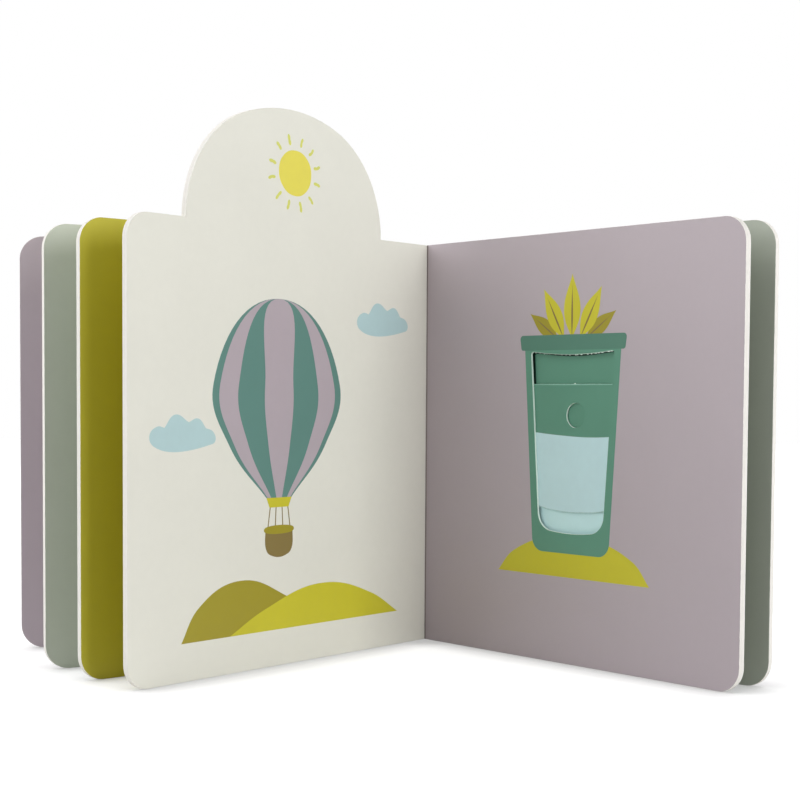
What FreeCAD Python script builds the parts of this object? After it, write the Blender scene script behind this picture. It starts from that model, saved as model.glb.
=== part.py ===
import FreeCAD, Part
import math
import os

# Activity board book that stands open on its tail edges.
# Boards turn about upright folds: front cover, three leaves, a leaf with a slide card, back cover.
# Millimetres. Origin: foot of the fold between leaf 3 and the slide leaf.
# +Z runs up that fold, +X to the reader's right and +Y away from the reader.
# Each board is drawn flat: X from its root to its fore edge, Y from its first face to its second, Z up.

# ---- boards ----
PAGE_HEIGHT = 180.0
PAGE_WIDTH = 176.9
CORNER_RADIUS = 10.0
COVER_THICKNESS = 2.4
LEAF_THICKNESS = 2.6

# ---- headings of the opened boards, degrees anticlockwise from +X ----
FRONT_COVER_HEADING = 192.8
LEAF_1_HEADING = 211.4
LEAF_2_HEADING = 221.2
LEAF_3_HEADING = 230.1
SLIDE_LEAF_HEADING = 311.05
BACK_COVER_HEADING = 316.4

# ---- folds and spine ----
FOLD_RELIEF = 0.05
SPINE_THICKNESS = 0.5

# ---- arched tab at the head of leaf 3 ----
TAB_CENTRE = 90.0
TAB_WIDTH = 115.0
TAB_HEIGHT = 48.6
TAB_SHOULDER_SHARE = 0.96

# ---- layers of the slide leaf ----
WINDOW_BOARD = 0.8
SPACER_BOARD = 1.2
BACKING_BOARD = 1.0

# ---- window in the slide leaf ----
WINDOW_CENTRE = 89.7
WINDOW_FOOT = 56.4
WINDOW_HEAD = 130.7
WINDOW_FOOT_WIDTH = 36.0
WINDOW_HEAD_WIDTH = 46.6
WINDOW_FOOT_SAG = 1.7
WINDOW_HEAD_SAG = 1.5
WINDOW_FOOT_RADIUS = 8.0
WINDOW_HEAD_RADIUS = 1.2

# ---- slide card and its slot ----
CARD_OVERHANG = 6.5
CARD_HEIGHT = 53.4
CARD_TOP = 117.0
CARD_FOOT_SAG = 4.0
CARD_CORNER_RADIUS = 2.0
CARD_FACE_CLEARANCE = 0.1
CARD_SIDE_CLEARANCE = 0.5
CARD_END_CLEARANCE = 0.6
CARD_TRAVEL_UP = 15.0
CARD_TRAVEL_DOWN = 38.0
SLOT_CORNER_RADIUS = 1.5
FINGER_HOLE_RADIUS = 5.2
FINGER_HOLE_OFFSET = 1.7
FINGER_HOLE_DROP = 13.0

SLIDE_LEAF_THICKNESS = WINDOW_BOARD + SPACER_BOARD + BACKING_BOARD
CARD_THICKNESS = SPACER_BOARD - 2 * CARD_FACE_CLEARANCE
CARD_WIDTH = WINDOW_HEAD_WIDTH + 2 * CARD_OVERHANG
UP = FreeCAD.Vector(0, 0, 1)


class Board:
    """One board of the opened book: its heading, its thickness and the foot of its first face's root."""

    def __init__(self, heading, thickness):
        self.heading = heading
        self.thickness = thickness
        self.root = FreeCAD.Vector(0, 0, 0)
        angle = math.radians(heading)
        self.across = FreeCAD.Vector(-math.sin(angle), math.cos(angle), 0)

    def far_root(self):
        """Foot of the second face's root, where the next board's first face starts."""
        return self.root + self.across * self.thickness

    def place(self, shape):
        """Turn and move a shape that is drawn flat to this board's place in the opened book."""
        placed = shape.copy()
        opened = FreeCAD.Placement(self.root, FreeCAD.Rotation(UP, self.heading))
        placed.Placement = opened.multiply(shape.Placement)
        return placed


def opened_boards():
    """The six boards in order. Neighbours meet root to root, and the slide leaf's root is the origin."""
    front_cover = Board(FRONT_COVER_HEADING, COVER_THICKNESS)
    leaf_1 = Board(LEAF_1_HEADING, LEAF_THICKNESS)
    leaf_2 = Board(LEAF_2_HEADING, LEAF_THICKNESS)
    leaf_3 = Board(LEAF_3_HEADING, LEAF_THICKNESS)
    slide_leaf = Board(SLIDE_LEAF_HEADING, SLIDE_LEAF_THICKNESS)
    back_cover = Board(BACK_COVER_HEADING, COVER_THICKNESS)
    next_root = slide_leaf.root
    for board in (leaf_3, leaf_2, leaf_1, front_cover):
        board.root = next_root - board.across * board.thickness
        next_root = board.root
    back_cover.root = slide_leaf.far_root()
    return front_cover, leaf_1, leaf_2, leaf_3, slide_leaf, back_cover


def flat_point(x, z):
    """A point on a flat board's first face."""
    return FreeCAD.Vector(x, 0, z)


def line(start, end):
    return Part.LineSegment(start, end).toShape()


def arc(centre, radius, start_degrees, end_degrees):
    """An arc on a flat board's first face, through the middle of its turn."""
    def on_arc(degrees):
        angle = math.radians(degrees)
        return centre + flat_point(radius * math.cos(angle), radius * math.sin(angle))

    middle = (start_degrees + end_degrees) / 2
    return Part.Arc(on_arc(start_degrees), on_arc(middle), on_arc(end_degrees)).toShape()


def tab_outline():
    """Three-centred arch from its fore-edge springing to its root springing, both on the head edge."""
    half_width = TAB_WIDTH / 2
    side_radius = TAB_SHOULDER_SHARE * TAB_HEIGHT
    side_offset = half_width - side_radius
    top_radius = (TAB_HEIGHT**2 + side_offset**2 - side_radius**2) / (2 * (TAB_HEIGHT - side_radius))
    drop = top_radius - TAB_HEIGHT
    turn = math.degrees(math.atan2(drop, side_offset))
    fore_side = flat_point(TAB_CENTRE + side_offset, PAGE_HEIGHT)
    root_side = flat_point(TAB_CENTRE - side_offset, PAGE_HEIGHT)
    top = flat_point(TAB_CENTRE, PAGE_HEIGHT - drop)
    return [
        arc(fore_side, side_radius, 0, turn),
        arc(top, top_radius, turn, 180 - turn),
        arc(root_side, side_radius, 180 - turn, 180),
    ]


def flat_board(thickness, with_tab=False):
    """A board with square root corners and rounded fore-edge corners."""
    radius = CORNER_RADIUS
    foot_centre = flat_point(PAGE_WIDTH - radius, radius)
    head_centre = flat_point(PAGE_WIDTH - radius, PAGE_HEIGHT - radius)
    root_foot = flat_point(0, 0)
    root_head = flat_point(0, PAGE_HEIGHT)
    corner_end = flat_point(PAGE_WIDTH - radius, PAGE_HEIGHT)
    edges = [
        line(root_foot, flat_point(PAGE_WIDTH - radius, 0)),
        arc(foot_centre, radius, -90, 0),
        line(flat_point(PAGE_WIDTH, radius), flat_point(PAGE_WIDTH, PAGE_HEIGHT - radius)),
        arc(head_centre, radius, 0, 90),
    ]
    if with_tab:
        tab_foot_fore = flat_point(TAB_CENTRE + TAB_WIDTH / 2, PAGE_HEIGHT)
        tab_foot_root = flat_point(TAB_CENTRE - TAB_WIDTH / 2, PAGE_HEIGHT)
        edges += [line(corner_end, tab_foot_fore), *tab_outline(), line(tab_foot_root, root_head)]
    else:
        edges.append(line(corner_end, root_head))
    edges.append(line(root_head, root_foot))
    return extruded(edges, thickness)


def extruded(edges, thickness):
    """The closed outline, given a thickness from the first face to the second."""
    face = Part.Face(Part.Wire(edges))
    return face.extrude(FreeCAD.Vector(0, thickness, 0))


def round_corners(solid, radius, above=None, below=None):
    """Round the corner edges that run through the board, all of them or those above or below a height."""
    edges = []
    for edge in solid.Edges:
        if abs(edge.tangentAt(edge.FirstParameter).y) < 0.99:
            continue
        height = edge.CenterOfMass.z
        if (above is None or height > above) and (below is None or height < below):
            edges.append(edge)
    return solid.makeFillet(radius, edges)


def moved_in(shape, depth):
    """Move a shape into the board, away from its first face."""
    return shape.translated(FreeCAD.Vector(0, depth, 0))


def sector(centre, radius, start_degrees, turn_degrees):
    """An upright wedge of a cylinder as tall as the page."""
    wedge = Part.makeCylinder(radius, PAGE_HEIGHT, FreeCAD.Vector(0, 0, 0), UP, turn_degrees)
    wedge.Placement = FreeCAD.Placement(centre, FreeCAD.Rotation(UP, start_degrees))
    return wedge


def fold_web(earlier, later, radius):
    """The folded sheet behind a crease, from the later board's root round to the earlier board's root.

    It is drawn in the later board's flat frame.
    """
    opening = later.heading - earlier.heading
    return sector(FreeCAD.Vector(0, 0, 0), radius, 90, 180 - opening)


def folded_leaf(earlier, later, with_tab=False):
    """A leaf with the fold that ties it to the leaf before it."""
    radius = LEAF_THICKNESS / 2 - FOLD_RELIEF
    leaf = flat_board(LEAF_THICKNESS, with_tab)
    return leaf.fuse(fold_web(earlier, later, radius)).removeSplitter()


def window_tool():
    """The tapered opening: a sagging head, a bowed foot and wide lower corners."""
    foot_half = WINDOW_FOOT_WIDTH / 2
    head_half = WINDOW_HEAD_WIDTH / 2
    foot_root = flat_point(WINDOW_CENTRE - foot_half, WINDOW_FOOT)
    foot_fore = flat_point(WINDOW_CENTRE + foot_half, WINDOW_FOOT)
    head_root = flat_point(WINDOW_CENTRE - head_half, WINDOW_HEAD)
    head_fore = flat_point(WINDOW_CENTRE + head_half, WINDOW_HEAD)
    foot_middle = flat_point(WINDOW_CENTRE, WINDOW_FOOT - WINDOW_FOOT_SAG)
    head_middle = flat_point(WINDOW_CENTRE, WINDOW_HEAD - WINDOW_HEAD_SAG)
    edges = [
        Part.Arc(foot_root, foot_middle, foot_fore).toShape(),
        line(foot_fore, head_fore),
        Part.Arc(head_fore, head_middle, head_root).toShape(),
        line(head_root, foot_root),
    ]
    middle = (WINDOW_FOOT + WINDOW_HEAD) / 2
    tool = extruded(edges, WINDOW_BOARD)
    tool = round_corners(tool, WINDOW_FOOT_RADIUS, below=middle)
    return round_corners(tool, WINDOW_HEAD_RADIUS, above=middle)


def window_panel(earlier, slide_leaf):
    """The slide leaf's front board, with its window and the gutter fold that ties it to leaf 3."""
    panel = flat_board(WINDOW_BOARD).cut(window_tool())
    return panel.fuse(fold_web(earlier, slide_leaf, WINDOW_BOARD - FOLD_RELIEF)).removeSplitter()


def slide_spacer():
    """The middle board. Its slot is as wide as the card, and as long as the card and its travel."""
    half_width = CARD_WIDTH / 2 + CARD_SIDE_CLEARANCE
    foot = CARD_TOP - CARD_HEIGHT - CARD_TRAVEL_DOWN - CARD_END_CLEARANCE
    head = CARD_TOP + CARD_TRAVEL_UP + CARD_END_CLEARANCE
    slot = Part.makeBox(2 * half_width, SPACER_BOARD, head - foot)
    slot.translate(FreeCAD.Vector(WINDOW_CENTRE - half_width, 0, foot))
    spacer = flat_board(SPACER_BOARD).cut(round_corners(slot, SLOT_CORNER_RADIUS))
    return moved_in(spacer, WINDOW_BOARD)


def slide_backing():
    """The slide leaf's rear board, which closes the slot and shows through the window."""
    return moved_in(flat_board(BACKING_BOARD), WINDOW_BOARD + SPACER_BOARD)


def slide_card():
    """The card that slides in the slot, wider than the window, with a finger hole."""
    half_width = CARD_WIDTH / 2
    foot_height = CARD_TOP - CARD_HEIGHT + CARD_FOOT_SAG
    foot_root = flat_point(WINDOW_CENTRE - half_width, foot_height)
    foot_fore = flat_point(WINDOW_CENTRE + half_width, foot_height)
    foot_middle = flat_point(WINDOW_CENTRE, foot_height - CARD_FOOT_SAG)
    top_root = flat_point(WINDOW_CENTRE - half_width, CARD_TOP)
    top_fore = flat_point(WINDOW_CENTRE + half_width, CARD_TOP)
    edges = [
        Part.Arc(foot_root, foot_middle, foot_fore).toShape(),
        line(foot_fore, top_fore),
        line(top_fore, top_root),
        line(top_root, foot_root),
    ]
    card = round_corners(extruded(edges, CARD_THICKNESS), CARD_CORNER_RADIUS)
    hole_place = flat_point(WINDOW_CENTRE + FINGER_HOLE_OFFSET, CARD_TOP - FINGER_HOLE_DROP)
    hole = Part.makeCylinder(FINGER_HOLE_RADIUS, CARD_THICKNESS, hole_place, FreeCAD.Vector(0, 1, 0))
    return moved_in(card.cut(hole), WINDOW_BOARD + CARD_FACE_CLEARANCE)


def bow_half_angle(chord, length):
    """Half the angle of an arc of this length whose ends are a chord apart, in radians."""
    low = 0.0
    high = math.pi
    for _ in range(60):
        middle = (low + high) / 2
        if length * math.sin(middle) > chord * middle:
            low = middle
        else:
            high = middle
    return low


def heading_of(vector):
    return math.degrees(math.atan2(vector.y, vector.x))


def cover_spine(boards):
    """The spine strip. It is as wide as the closed book is thick, so it bows out behind the open book.

    At each end it turns round the cover's outer root edge and meets the cover's root.
    """
    front_cover, back_cover = boards[0], boards[-1]
    front_edge = front_cover.root
    back_edge = back_cover.far_root()
    chord_vector = back_edge - front_edge
    chord = chord_vector.Length
    width = sum(board.thickness for board in boards)
    half_angle = bow_half_angle(chord, width)
    radius = chord / (2 * math.sin(half_angle))
    outward = FreeCAD.Vector(-chord_vector.y, chord_vector.x, 0) / chord
    centre = (front_edge + back_edge) / 2 - outward * (radius * math.cos(half_angle))

    def at_depth(edge, depth):
        return edge + (centre - edge) * (depth / radius)

    crown = centre + outward * radius
    inner_front = at_depth(front_edge, SPINE_THICKNESS)
    inner_back = at_depth(back_edge, SPINE_THICKNESS)
    edges = [
        Part.Arc(front_edge, crown, back_edge).toShape(),
        line(back_edge, inner_back),
        Part.Arc(inner_back, at_depth(crown, SPINE_THICKNESS), inner_front).toShape(),
        line(inner_front, front_edge),
    ]
    strip = Part.Face(Part.Wire(edges)).extrude(UP * PAGE_HEIGHT)
    front_start = heading_of(front_cover.across)
    front_turn = (heading_of(centre - front_edge) - front_start) % 360
    back_start = heading_of(centre - back_edge)
    back_turn = (heading_of(back_cover.across * -1) - back_start) % 360
    front_turn_round = sector(front_edge, SPINE_THICKNESS, front_start, front_turn)
    back_turn_round = sector(back_edge, SPINE_THICKNESS, back_start, back_turn)
    return strip.fuse([front_turn_round, back_turn_round]).removeSplitter()


def save(name, shape):
    """Write one node, and say what it is made of."""
    shape.exportStep(f"parts/{name}.step")
    box = shape.BoundBox
    print(f"{name}: {len(shape.Solids)} solid, valid {shape.isValid()}, {shape.Volume:.0f} mm3,"
          f" {box.XLength:.1f} x {box.YLength:.1f} x {box.ZLength:.1f} mm")


def main():
    os.makedirs("parts", exist_ok=True)
    boards = opened_boards()
    front_cover, leaf_1, leaf_2, leaf_3, slide_leaf, back_cover = boards
    front_fold_radius = min(COVER_THICKNESS, LEAF_THICKNESS) / 2 - FOLD_RELIEF
    back_fold_radius = min(BACKING_BOARD, COVER_THICKNESS / 2) - FOLD_RELIEF

    save("front_cover", front_cover.place(flat_board(COVER_THICKNESS)))
    save("front_cover_fold", leaf_1.place(fold_web(front_cover, leaf_1, front_fold_radius)))
    save("leaf_1", leaf_1.place(flat_board(LEAF_THICKNESS)))
    save("leaf_2", leaf_2.place(folded_leaf(leaf_1, leaf_2)))
    save("leaf_3", leaf_3.place(folded_leaf(leaf_2, leaf_3, with_tab=True)))
    save("slide_window_panel", slide_leaf.place(window_panel(leaf_3, slide_leaf)))
    save("slide_spacer", slide_leaf.place(slide_spacer()))
    save("slide_backing", slide_leaf.place(slide_backing()))
    save("slide_card", slide_leaf.place(slide_card()))
    save("back_cover_fold", back_cover.place(fold_web(slide_leaf, back_cover, back_fold_radius)))
    save("back_cover", back_cover.place(flat_board(COVER_THICKNESS)))
    save("cover_spine", cover_spine(boards))


main()
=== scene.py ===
import math
import random

import bpy
from bpy.props import FloatProperty, FloatVectorProperty, IntProperty, PointerProperty
from mathutils import Matrix, Vector


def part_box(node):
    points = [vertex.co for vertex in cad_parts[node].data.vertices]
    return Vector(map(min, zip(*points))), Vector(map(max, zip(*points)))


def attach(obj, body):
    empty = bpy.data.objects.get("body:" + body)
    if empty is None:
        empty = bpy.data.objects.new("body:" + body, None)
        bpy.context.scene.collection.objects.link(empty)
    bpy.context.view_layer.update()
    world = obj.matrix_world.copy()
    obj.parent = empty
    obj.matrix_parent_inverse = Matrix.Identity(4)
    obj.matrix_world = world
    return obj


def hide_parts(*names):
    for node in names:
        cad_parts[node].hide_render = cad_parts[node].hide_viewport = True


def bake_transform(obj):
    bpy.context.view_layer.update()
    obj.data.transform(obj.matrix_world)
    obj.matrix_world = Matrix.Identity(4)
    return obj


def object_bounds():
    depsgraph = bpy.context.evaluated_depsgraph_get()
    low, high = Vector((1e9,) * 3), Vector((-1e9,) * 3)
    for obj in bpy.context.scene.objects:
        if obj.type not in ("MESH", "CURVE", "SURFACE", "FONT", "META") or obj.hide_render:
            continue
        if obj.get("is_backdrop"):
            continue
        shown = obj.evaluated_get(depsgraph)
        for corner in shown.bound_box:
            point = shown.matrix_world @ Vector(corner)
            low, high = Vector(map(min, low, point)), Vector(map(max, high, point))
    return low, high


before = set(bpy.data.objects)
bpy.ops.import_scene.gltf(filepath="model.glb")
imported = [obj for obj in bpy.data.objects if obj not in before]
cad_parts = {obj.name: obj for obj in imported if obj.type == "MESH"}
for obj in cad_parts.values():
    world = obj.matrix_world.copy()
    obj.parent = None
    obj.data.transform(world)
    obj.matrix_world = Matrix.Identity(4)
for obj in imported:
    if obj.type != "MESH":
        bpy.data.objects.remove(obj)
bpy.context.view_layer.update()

# Looks of a board book that stands open on its tail edges.
# Metres. The foot of the open fold is the origin, +X is the reader's right and +Z is up.
# A page is drawn as its reader sees it: X to the right and Y up from the foot of the open fold.

bl_info = {
    "name": "Open Activity Book",
    "version": (1, 0, 0),
    "blender": (4, 5, 0),
    "location": "3D View > Sidebar > Activity Book",
    "description": "Boards, prints, slide card and spine of a board book that stands open",
    "category": "Object",
}

MM = 0.001
UP = Vector((0, 0, 1))

# Two heights or depths this close are one and the same, and points this close are merged.
SAME = 0.01 * MM
WELD = 0.0005 * MM

# A face whose normal lies this nearly along the way through a board is one of its broad sides,
# and one whose normal lies less along it than this is a cut wall.
FLAT = 0.999
WALL = 0.1

# A board's material slots.
FIRST, SECOND, EDGE, FOLD, WINDOW = range(5)

# How an outline passes through a point.
SMOOTH = "AUTO"
CORNER = "VECTOR"

# Most of a noise pattern lies between these values.
NOISE_LOW = 0.3
NOISE_HIGH = 0.7


def tint(red, green, blue):
    """A colour given in ordinary 0 to 255 steps, as the shaders want it."""
    steps = (red / 255, green / 255, blue / 255)
    return tuple(((s + 0.055) / 1.055) ** 2.4 if s > 0.04045 else s / 12.92 for s in steps)


def colour(name, description, default):
    return FloatVectorProperty(
        name=name,
        description=description,
        subtype="COLOR",
        size=3,
        min=0.0,
        max=1.0,
        default=tint(*default),
    )


def length(name, description, millimetres, least=0.0):
    return FloatProperty(
        name=name,
        description=description,
        unit="LENGTH",
        min=least * MM,
        default=millimetres * MM,
        precision=5,
    )


def number(name, description, default, unit="NONE"):
    return FloatProperty(name=name, description=description, default=default, unit=unit)


def turn(name, description, degrees):
    return FloatProperty(name=name, description=description, subtype="ANGLE", default=math.radians(degrees))


# ---- settings ----


class BOOK_PG_boards(bpy.types.PropertyGroup):
    """Finish of the boards."""

    cut_rounding: length("Cut Rounding", "Radius of the softened cut edges", 0.2)
    window_rounding: length("Window Rounding", "Radius of the window's cut edge", 0.16)
    glue_groove: length("Glue Groove", "Chamfer beside the glue lines of the slide leaf", 0.09)
    card_rounding: length("Card Rounding", "Radius of the slide card's cut edges", 0.12)
    core: colour("Board Core", "Bare white board at the cut edges", (248, 245, 239))
    window_core: colour("Window Core", "Board at the window's edge, stained by its ink", (238, 255, 244))
    cream: colour("Cream Page", "Page with the tab", (231, 230, 219))
    mauve: colour("Mauve Page", "Page with the window", (183, 172, 178))
    first_mauve: colour("First Mauve", "First spread", (195, 184, 190))
    sage: colour("Sage Page", "Second spread", (207, 213, 199))
    olive: colour("Olive Page", "Third spread", (200, 192, 63))
    sage_end: colour("Sage End Page", "Last spread", (184, 190, 177))
    wrap: colour("Cover Wrap", "Outside of the covers and the spine", (185, 174, 180))


class BOOK_PG_inks(bpy.types.PropertyGroup):
    """Inks of the pictures."""

    film: length("Ink Film", "How far one ink lies above what it is printed on", 0.012)
    sink: length("Ink Sink", "How far an ink film reaches into its board", 0.02)
    teal: colour("Teal", "Balloon gores", (93, 135, 126))
    pot_teal: colour("Pot Teal", "Pot, slide card and slot", (92, 146, 124))
    deep_teal: colour("Deep Teal", "Lip of the pot", (81, 128, 110))
    light_blue: colour("Light Blue", "Clouds", (182, 210, 212))
    water: colour("Water", "Foot of the slide card", (199, 230, 234))
    # Painted light: paler than the card's water, so the slot's shaded foot below the card shows as bright
    # as the card.
    deep_water: colour("Deep Water", "Slot below the slide card", (206, 241, 243))
    # Painted shadow: a near-black ink laid on the backing under the window's head and root-side edge, and
    # on the rear of the card's cut wall, in place of the shade there.
    slot_shade: colour("Slot Shade", "Dark line printed round the slot", (14, 48, 37))
    # Painted highlight: a pale line along the card's top, standing in for light caught by its rounded top
    # edge.
    card_line: colour("Card Line", "Rubbed line along the top of the slide card", (144, 196, 177))
    mauve: colour("Mauve", "Balloon gores", (180, 168, 175))
    yellow_green: colour("Yellow Green", "Mound, near hill, leaves and balloon skirt", (203, 195, 43))
    olive: colour("Olive", "Far hill, shaded leaves and basket rim", (160, 148, 36))
    brown: colour("Brown", "Basket, ropes and leaf ribs", (132, 114, 62))
    sun: colour("Sun", "Sun's disc", (230, 218, 86))
    ray: colour("Ray", "Rays round the sun", (214, 216, 104))
    # Painted shade: a dark ink laid along each fold, in place of the shadow in the crease.
    crease: colour("Crease", "Darkened line of a fold between two pages", (146, 136, 132))


class BOOK_PG_pictures(bpy.types.PropertyGroup):
    """Sizes of the pictures."""

    sun_radius: length("Sun Radius", "Radius of the sun's disc", 9.6)
    ray_length: length("Ray Length", "Length of one ray", 4.6)
    rays: IntProperty(name="Rays", description="Number of rays round the sun", min=3, default=12)
    balloon_radius: length("Balloon Radius", "Half the balloon's width", 37.0)
    pot_frame: length("Pot Frame", "Width of the pot's wall beside the window", 3.8)
    lip_height: length("Lip Height", "Height of the pot's lip", 6.4)
    leaf_length: length("Leaf Length", "Length of the tallest leaf", 27.0)
    card_bow: length("Card Bow", "How far the slide card's foot bows down", 4.0)
    head_sag: length("Head Sag", "How far the window's head edge sags", 1.5)


class BOOK_PG_stage(bpy.types.PropertyGroup):
    """Floor, lights and camera."""

    floor_size: length("Floor Size", "Side of the square floor", 6000.0)
    eye_side: length("Eye Side", "Camera's place to the right of the open fold", -11.86, least=-1000.0)
    eye_back: length("Eye Distance", "Camera's distance in front of the open fold", 726.85)
    eye_height: length("Eye Height", "Camera's height above the floor", 112.45)
    lens: number("Lens", "Focal length in millimetres", 71.52, unit="CAMERA")
    tilt: turn("Tilt", "Downward tilt", 2.755)
    roll: turn("Roll", "Turn about the line of sight", 0.355)
    rise: number("Rise", "Upward shift of the view, as a share of its width", 0.088)
    room_light: number("Room Light", "Strength of the even light from all round", 0.08)


# ---- places read from the frame ----


class Board:
    """A board's place in the open book: its root, the way to its fore edge and the way through it."""

    def __init__(self, node):
        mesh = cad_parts[node].data
        low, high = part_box(node)
        broadest = max(mesh.polygons, key=lambda face: face.area)
        run = broadest.normal.cross(UP).normalized()
        if run.dot(low + high) < 0:
            run = -run
        across = UP.cross(run)
        least = broadest.area / 20
        large = [face for face in mesh.polygons if face.area > least]
        broad = [face for face in large if abs(face.normal.dot(across)) > FLAT]
        depths = [face.center.dot(across) for face in broad]
        reaches = [mesh.vertices[index].co.dot(run) for face in broad for index in face.vertices]
        self.node = node
        self.run = run
        self.across = across
        self.thickness = max(depths) - min(depths)
        self.root = run * min(reaches) + across * min(depths)
        self.width = max(reaches) - min(reaches)
        self.heading = math.atan2(run.y, run.x)

    def far_root(self):
        """Foot of the second face's root."""
        return self.root + self.across * self.thickness

    def depth(self, point):
        return (point - self.root).dot(self.across)

    def reach(self, point):
        return (point - self.root).dot(self.run)


class Page:
    """One printed side of a board, with X to its reader's right, Y up and Z off the page."""

    def __init__(self, board, second=False, depth=None):
        right = -board.run if second else board.run
        off = board.across if second else -board.across
        if depth is None:
            depth = board.thickness if second else 0.0
        foot = board.root + board.across * depth
        self.board = board
        self.stand = Matrix((
            (right.x, 0, off.x, foot.x),
            (right.y, 0, off.y, foot.y),
            (0, 1, 0, foot.z),
            (0, 0, 0, 1),
        ))


# ---- working on one object ----


def only(piece):
    """Select one object and make it active."""
    bpy.ops.object.select_all(action="DESELECT")
    piece.select_set(True)
    bpy.context.view_layer.objects.active = piece


def named(piece, name):
    piece.name = name
    piece.data.name = name
    return piece


def settle(piece):
    """Put an object's place, turn and size into its mesh."""
    only(piece)
    bpy.ops.object.transform_apply(location=True, rotation=True, scale=True)


def edit(piece):
    """Open a mesh with all of it selected."""
    only(piece)
    bpy.ops.object.mode_set(mode="EDIT")
    bpy.ops.mesh.select_all(action="SELECT")


def leave():
    bpy.ops.object.mode_set(mode="OBJECT")


def close(piece, recalculate=True):
    """Merge what touches, and turn the faces outwards."""
    edit(piece)
    bpy.ops.mesh.remove_doubles(threshold=WELD)
    if recalculate:
        bpy.ops.mesh.normals_make_consistent(inside=False)
    leave()


def clear_selection(piece, kind):
    """Deselect a mesh's parts, ready for faces or edges to be selected in object mode."""
    edit(piece)
    bpy.ops.mesh.select_mode(type=kind)
    bpy.ops.mesh.select_all(action="DESELECT")
    leave()


def apply(modifier):
    bpy.ops.object.modifier_apply(modifier=modifier.name)


def join(pieces, name):
    bpy.ops.object.select_all(action="DESELECT")
    for piece in pieces:
        piece.select_set(True)
    bpy.context.view_layer.objects.active = pieces[0]
    if len(pieces) > 1:
        bpy.ops.object.join()
    return named(bpy.context.object, name)


def soften(piece, degrees=30):
    """Smooth shading that keeps the flat faces flat."""
    only(piece)
    bpy.ops.object.shade_smooth_by_angle(angle=math.radians(degrees))
    modifier = piece.modifiers.new("even_faces", "WEIGHTED_NORMAL")
    modifier.keep_sharp = True
    apply(modifier)


# ---- finishes ----


class Recipe:
    """The shader nodes of a material or of the world, made one by one."""

    def __init__(self, owner):
        owner.use_nodes = True
        self.tree = owner.node_tree
        self.tree.nodes.clear()

    def node(self, kind, sockets=None, **settings):
        """A node with these settings, and its sockets linked to others or given plain values."""
        made = self.tree.nodes.new(kind)
        for setting, value in settings.items():
            setattr(made, setting, value)
        self.fill(made, sockets or {})
        return made

    def fill(self, node, sockets):
        for socket, value in sockets.items():
            if isinstance(value, bpy.types.NodeSocket):
                self.tree.links.new(value, node.inputs[socket])
            else:
                node.inputs[socket].default_value = value

    def place(self):
        return self.node("ShaderNodeTexCoord").outputs["Object"]

    def maths(self, operation, first, second=0.0):
        return self.node("ShaderNodeMath", {0: first, 1: second}, operation=operation).outputs[0]

    def mixture(self, *parts):
        """Patterns added up, each at its own share."""
        weighed = [self.maths("MULTIPLY", pattern, share) for pattern, share in parts]
        total = weighed[0]
        for part in weighed[1:]:
            total = self.maths("ADD", total, part)
        return total

    def gap(self, value, level):
        """How far a value is from a level, on either side."""
        return self.maths("ABSOLUTE", self.maths("SUBTRACT", value, level))

    def spread(self, value, new_low, new_high, low=NOISE_LOW, high=NOISE_HIGH):
        """A value's range from low to high, stretched to a new range."""
        sockets = {"Value": value, "From Min": low, "From Max": high, "To Min": new_low, "To Max": new_high}
        return self.node("ShaderNodeMapRange", sockets).outputs["Result"]

    def blend(self, share, first, second):
        return self.node("ShaderNodeMix", {0: share, 6: first, 7: second}, data_type="RGBA").outputs[2]

    def mottled(self, pattern, base, dark, light, low=NOISE_LOW, high=NOISE_HIGH):
        """A colour that a pattern takes from a darker to a lighter shade of itself."""
        share = self.spread(pattern, 0.0, 1.0, low, high)
        return self.blend(share, shade_of(base, dark), shade_of(base, light))

    def noise(self, place, size, detail=2.0, stretch=(1, 1, 1)):
        """Noise whose lumps are about this size in metres. A stretched side has longer lumps."""
        scale = [1 / (size * side) for side in stretch]
        sized = self.node("ShaderNodeMapping", {"Vector": place, "Scale": scale}).outputs["Vector"]
        lumps = self.node("ShaderNodeTexNoise", {"Vector": sized, "Scale": 1.0, "Detail": detail})
        return lumps.outputs["Fac"]

    def bump(self, height, depth, under=None):
        sockets = {"Strength": 1.0, "Distance": depth, "Height": height}
        if under is not None:
            sockets["Normal"] = under
        return self.node("ShaderNodeBump", sockets).outputs["Normal"]

    def grey(self, kind, level, **sockets):
        """A plain shader of one grey level."""
        return self.node(kind, {"Color": (level, level, level, 1), **sockets}).outputs[0]

    def seen_or_lit(self, lit, seen):
        """One shader where light meets the surface, another where a camera, mirror or glass ray does."""
        rays = self.node("ShaderNodeLightPath").outputs
        share = rays["Is Camera Ray"]
        for ray in ("Is Glossy Ray", "Is Transmission Ray"):
            share = self.maths("MAXIMUM", share, rays[ray])
        return self.node("ShaderNodeMixShader", {0: share, 1: lit, 2: seen}).outputs[0]


class Finish(Recipe):
    """A material with one main shader."""

    def __init__(self, name):
        self.material = bpy.data.materials.new(name)
        super().__init__(self.material)
        self.shader = self.node("ShaderNodeBsdfPrincipled")
        self.node("ShaderNodeOutputMaterial", {"Surface": self.shader.outputs["BSDF"]})

    def surface(self, looks):
        """Fill the main shader's sockets."""
        self.fill(self.shader, looks)
        return self.material


def board_place(finish, board):
    """Object coordinates turned to a board: X to its fore edge, Y through it from the first face, Z up."""
    back = Matrix.Rotation(-board.heading, 3, "Z")
    sockets = {
        "Vector": finish.place(),
        "Location": -(back @ board.root),
        "Rotation": (0, 0, -board.heading),
    }
    return finish.node("ShaderNodeMapping", sockets).outputs["Vector"]


def shade_of(base, factor=1.0):
    return [min(1.0, part * factor) for part in base] + [1.0]


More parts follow.
